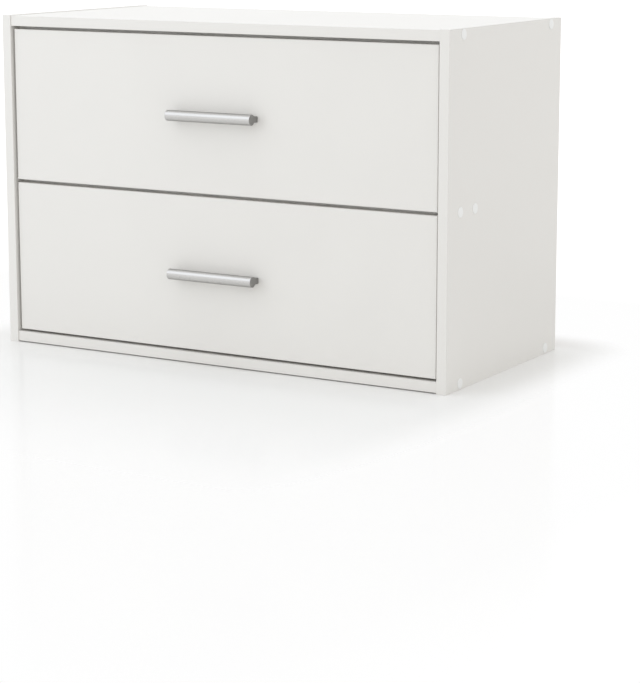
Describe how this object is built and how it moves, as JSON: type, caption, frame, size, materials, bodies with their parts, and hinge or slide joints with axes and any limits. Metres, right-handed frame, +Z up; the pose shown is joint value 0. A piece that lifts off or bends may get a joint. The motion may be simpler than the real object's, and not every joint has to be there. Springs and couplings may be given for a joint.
{
  "type": "two-drawer chest",
  "caption": "Low white cabinet with flat inset drawers on roller runners, each opened by a short round bar handle.",
  "frame": {"origin": "on the floor under the middle of the whole chest, its handles and cover caps included", "axes": "+X to the right seen from the front, +Y to the back, +Z up; the drawers open towards -Y"},
  "size_m": [0.752, 0.3784, 0.497],
  "materials": {
    "white_board": "white melamine-faced chipboard, fine satin texture",
    "white_hardboard": "white-faced hardboard, satin",
    "satin_metal": "satin aluminium",
    "runner_steel": "white baked coating",
    "roller_plastic": "natural nylon",
    "zinc_screw": "bright zinc plate",
    "cap_plastic": "white moulded plastic, satin",
    "dowel_wood": "plain beech"
  },
  "bodies": {
    "carcass": {"left_side_panel": "white_board", "right_side_panel": "white_board", "top_panel": "white_board", "bottom_panel": "white_board", "middle_rail": "white_board", "top_rail": "white_board", "back_panel": "white_hardboard", "carcass_screws": "zinc_screw", "screw_caps": "cap_plastic", "carcass_dowels": "dowel_wood", "top_rail_screws": "zinc_screw", "lower_left_cabinet_runner": "runner_steel", "lower_right_cabinet_runner": "runner_steel", "lower_front_roller_rivets": "zinc_screw", "lower_cabinet_runner_screws": "zinc_screw", "upper_left_cabinet_runner": "runner_steel", "upper_right_cabinet_runner": "runner_steel", "upper_front_roller_rivets": "zinc_screw", "upper_cabinet_runner_screws": "zinc_screw"},
    "lower_drawer": {"lower_drawer_front": "white_board", "lower_drawer_left_side": "white_board", "lower_drawer_right_side": "white_board", "lower_drawer_back": "white_board", "lower_drawer_bottom": "white_hardboard", "lower_handle": "satin_metal", "lower_handle_screws": "zinc_screw", "lower_drawer_cam_locks": "zinc_screw", "lower_drawer_cam_bolts": "zinc_screw", "lower_drawer_dowels": "dowel_wood", "lower_drawer_back_screws": "zinc_screw", "lower_drawer_bottom_screws": "zinc_screw", "lower_left_drawer_runner": "runner_steel", "lower_right_drawer_runner": "runner_steel", "lower_drawer_runner_screws": "zinc_screw", "lower_rear_roller_rivets": "zinc_screw"},
    "lower_left_front_roller": {"lower_left_front_roller": "roller_plastic"},
    "lower_left_rear_roller": {"lower_left_rear_roller": "roller_plastic"},
    "lower_right_front_roller": {"lower_right_front_roller": "roller_plastic"},
    "lower_right_rear_roller": {"lower_right_rear_roller": "roller_plastic"},
    "upper_drawer": {"upper_drawer_front": "white_board", "upper_drawer_left_side": "white_board", "upper_drawer_right_side": "white_board", "upper_drawer_back": "white_board", "upper_drawer_bottom": "white_hardboard", "upper_handle": "satin_metal", "upper_handle_screws": "zinc_screw", "upper_drawer_cam_locks": "zinc_screw", "upper_drawer_cam_bolts": "zinc_screw", "upper_drawer_dowels": "dowel_wood", "upper_drawer_back_screws": "zinc_screw", "upper_drawer_bottom_screws": "zinc_screw", "upper_left_drawer_runner": "runner_steel", "upper_right_drawer_runner": "runner_steel", "upper_drawer_runner_screws": "zinc_screw", "upper_rear_roller_rivets": "zinc_screw"},
    "upper_left_front_roller": {"upper_left_front_roller": "roller_plastic"},
    "upper_left_rear_roller": {"upper_left_rear_roller": "roller_plastic"},
    "upper_right_front_roller": {"upper_right_front_roller": "roller_plastic"},
    "upper_right_rear_roller": {"upper_right_rear_roller": "roller_plastic"}
  },
  "joints": [
    {"name": "lower_drawer_slide", "type": "slide", "parent": "carcass", "child": "lower_drawer", "axis": [0, -1, 0], "range_m": [0, 0.245]},
    {"name": "lower_left_front_roller_spin", "type": "hinge", "parent": "carcass", "child": "lower_left_front_roller", "pos_m": [-0.3557, -0.12335, 0.0436], "axis": [1, 0, 0], "range_deg": [0, 1560]},
    {"name": "lower_left_rear_roller_spin", "type": "hinge", "parent": "lower_drawer", "child": "lower_left_rear_roller", "pos_m": [-0.3518, 0.14015, 0.0432], "axis": [1, 0, 0], "range_deg": [0, 1560]},
    {"name": "lower_right_front_roller_spin", "type": "hinge", "parent": "carcass", "child": "lower_right_front_roller", "pos_m": [0.3557, -0.12335, 0.0436], "axis": [1, 0, 0], "range_deg": [0, 1560]},
    {"name": "lower_right_rear_roller_spin", "type": "hinge", "parent": "lower_drawer", "child": "lower_right_rear_roller", "pos_m": [0.3518, 0.14015, 0.0432], "axis": [1, 0, 0], "range_deg": [0, 1560]},
    {"name": "upper_drawer_slide", "type": "slide", "parent": "carcass", "child": "upper_drawer", "axis": [0, -1, 0], "range_m": [0, 0.245]},
    {"name": "upper_left_front_roller_spin", "type": "hinge", "parent": "carcass", "child": "upper_left_front_roller", "pos_m": [-0.3557, -0.12335, 0.2742], "axis": [1, 0, 0], "range_deg": [0, 1560]},
    {"name": "upper_left_rear_roller_spin", "type": "hinge", "parent": "upper_drawer", "child": "upper_left_rear_roller", "pos_m": [-0.3518, 0.14015, 0.2738], "axis": [1, 0, 0], "range_deg": [0, 1560]},
    {"name": "upper_right_front_roller_spin", "type": "hinge", "parent": "carcass", "child": "upper_right_front_roller", "pos_m": [0.3557, -0.12335, 0.2742], "axis": [1, 0, 0], "range_deg": [0, 1560]},
    {"name": "upper_right_rear_roller_spin", "type": "hinge", "parent": "upper_drawer", "child": "upper_right_rear_roller", "pos_m": [0.3518, 0.14015, 0.2738], "axis": [1, 0, 0], "range_deg": [0, 1560]}
  ],
  "couplings": [
    {"joint": "lower_left_front_roller_spin", "follows": "lower_drawer_slide", "rad_per_m": 111.11},
    {"joint": "lower_left_rear_roller_spin", "follows": "lower_drawer_slide", "rad_per_m": 111.11},
    {"joint": "lower_right_front_roller_spin", "follows": "lower_drawer_slide", "rad_per_m": 111.11},
    {"joint": "lower_right_rear_roller_spin", "follows": "lower_drawer_slide", "rad_per_m": 111.11},
    {"joint": "upper_left_front_roller_spin", "follows": "upper_drawer_slide", "rad_per_m": 111.11},
    {"joint": "upper_left_rear_roller_spin", "follows": "upper_drawer_slide", "rad_per_m": 111.11},
    {"joint": "upper_right_front_roller_spin", "follows": "upper_drawer_slide", "rad_per_m": 111.11},
    {"joint": "upper_right_rear_roller_spin", "follows": "upper_drawer_slide", "rad_per_m": 111.11}
  ]
}
